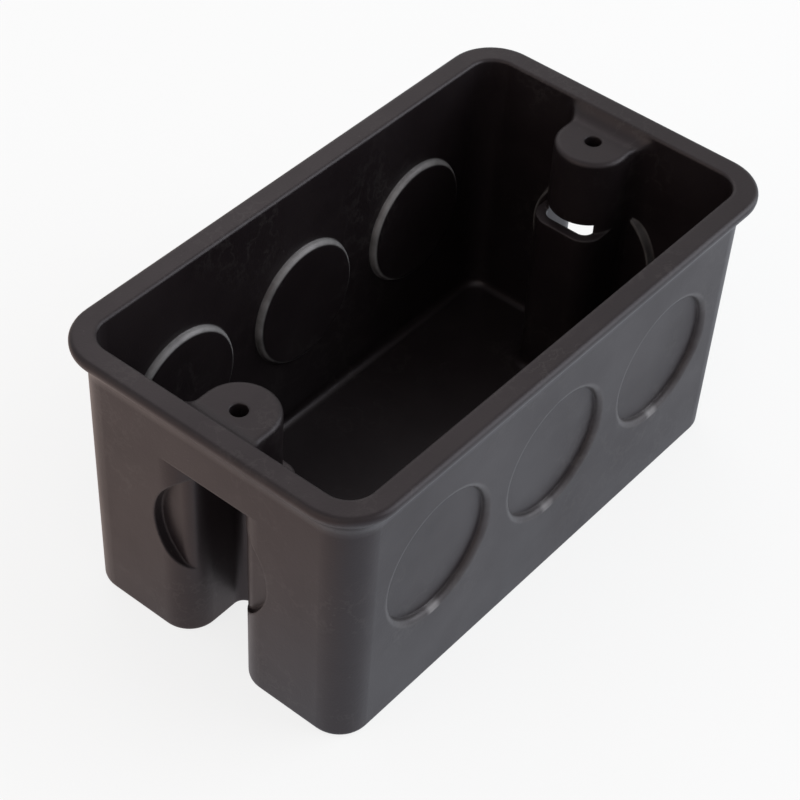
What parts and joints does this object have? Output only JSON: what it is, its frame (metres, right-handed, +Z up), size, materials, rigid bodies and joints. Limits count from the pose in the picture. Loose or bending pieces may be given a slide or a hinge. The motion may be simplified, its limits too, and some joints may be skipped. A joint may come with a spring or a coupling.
{
  "type": "flush switch box",
  "caption": "Open-topped rectangular plastic wall box with a flared rim, screw lugs inside its end walls and round knock-outs for conduit.",
  "frame": {"origin": "middle of the underside of the floor", "axes": "+Z up out of the open mouth, +X along the length through both screw lugs, +Y across the width"},
  "size_m": [0.1018, 0.0584, 0.0501],
  "materials": {
    "dark_plastic": "satin dark grey moulded plastic with a fine uneven grain"
  },
  "bodies": {
    "root": {"switch_box": "dark_plastic"}
  },
  "joints": []
}
